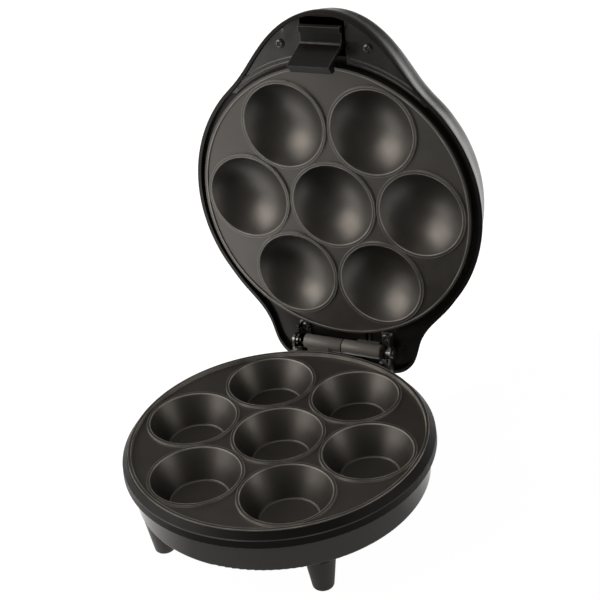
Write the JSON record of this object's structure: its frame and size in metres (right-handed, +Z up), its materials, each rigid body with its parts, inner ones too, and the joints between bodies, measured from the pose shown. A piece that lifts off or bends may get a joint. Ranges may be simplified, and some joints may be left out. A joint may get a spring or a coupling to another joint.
{
  "type": "cupcake maker",
  "caption": "Round electric countertop cupcake maker with a cupped non-stick base plate and a hinged domed lid, held shut by a sprung front latch.",
  "frame": {"origin": "on the floor under the centre of the round base", "axes": "+Z up, -Y to the front where the nose and latch are, +X to the right seen from the front"},
  "size_m": [0.2118, 0.2736, 0.303],
  "materials": {
    "gloss_black_plastic": "gloss",
    "satin_black_plastic": "satin",
    "nonstick_plate": "dark satin non-stick coating",
    "element_steel": "heat-darkened",
    "shield_aluminium": "bright rolled sheet",
    "bracket_steel": "plated",
    "bright_steel": "bright",
    "rubber": "matte",
    "control_plastic": "ceramic white",
    "terminal_plastic": "matte",
    "wire_insulation": "braided sleeve",
    "red_lens": "clear tinted",
    "green_lens": "clear tinted",
    "lamp_glass": "clear"
  },
  "bodies": {
    "base": {"base_bracket_screws": "bright_steel", "base_hinge_bracket_left": "bracket_steel", "base_hinge_bracket_right": "bracket_steel", "base_housing": "gloss_black_plastic", "base_rim": "gloss_black_plastic", "base_wiring": "wire_insulation", "bottom_cover": "satin_black_plastic", "bottom_cover_screws": "bright_steel", "cord_gland": "rubber", "foot_pads": "rubber", "foot_screws": "bright_steel", "front_left_foot": "satin_black_plastic", "front_right_foot": "satin_black_plastic", "hinge_pin_left": "bracket_steel", "hinge_pin_right": "bracket_steel", "lower_baking_plate": "nonstick_plate", "lower_heat_shield": "shield_aluminium", "lower_heating_element": "element_steel", "lower_shield_screws": "bright_steel", "rear_left_foot": "satin_black_plastic", "rear_right_foot": "satin_black_plastic", "terminal_block": "terminal_plastic", "thermal_fuse": "bright_steel", "thermostat": "control_plastic", "wire_barrel_base": "satin_black_plastic"},
    "lid": {"lid_shell": "gloss_black_plastic", "upper_baking_plate": "nonstick_plate", "upper_heating_element": "element_steel", "upper_heat_shield": "shield_aluminium", "upper_shield_screws": "bright_steel", "nose_panel_left": "satin_black_plastic", "nose_panel_right": "satin_black_plastic", "nose_panel_screws": "bright_steel", "latch_pin": "bright_steel", "latch_spring": "bright_steel", "lid_hinge_bracket_left": "bracket_steel", "lid_hinge_bracket_right": "bracket_steel", "lid_bracket_screws": "bright_steel", "wire_barrel_lid": "satin_black_plastic", "lid_wiring": "wire_insulation", "power_lens": "red_lens", "ready_lens": "green_lens", "power_lamp": "lamp_glass", "ready_lamp": "lamp_glass"},
    "latch": {"latch": "satin_black_plastic"}
  },
  "joints": [
    {"name": "lid_hinge", "type": "hinge", "parent": "base", "child": "lid", "pos_m": [0, 0.1104, 0.05872], "axis": [1, 0, 0], "range_deg": [0, 92.58]},
    {"name": "latch_hinge", "type": "hinge", "parent": "lid", "child": "latch", "pos_m": [0, 0.13077, 0.28243], "axis": [-1, 0, 0], "range_deg": [0, 15], "stiffness_Nm_per_rad": 0.25, "springref_deg": -5.73}
  ]
}
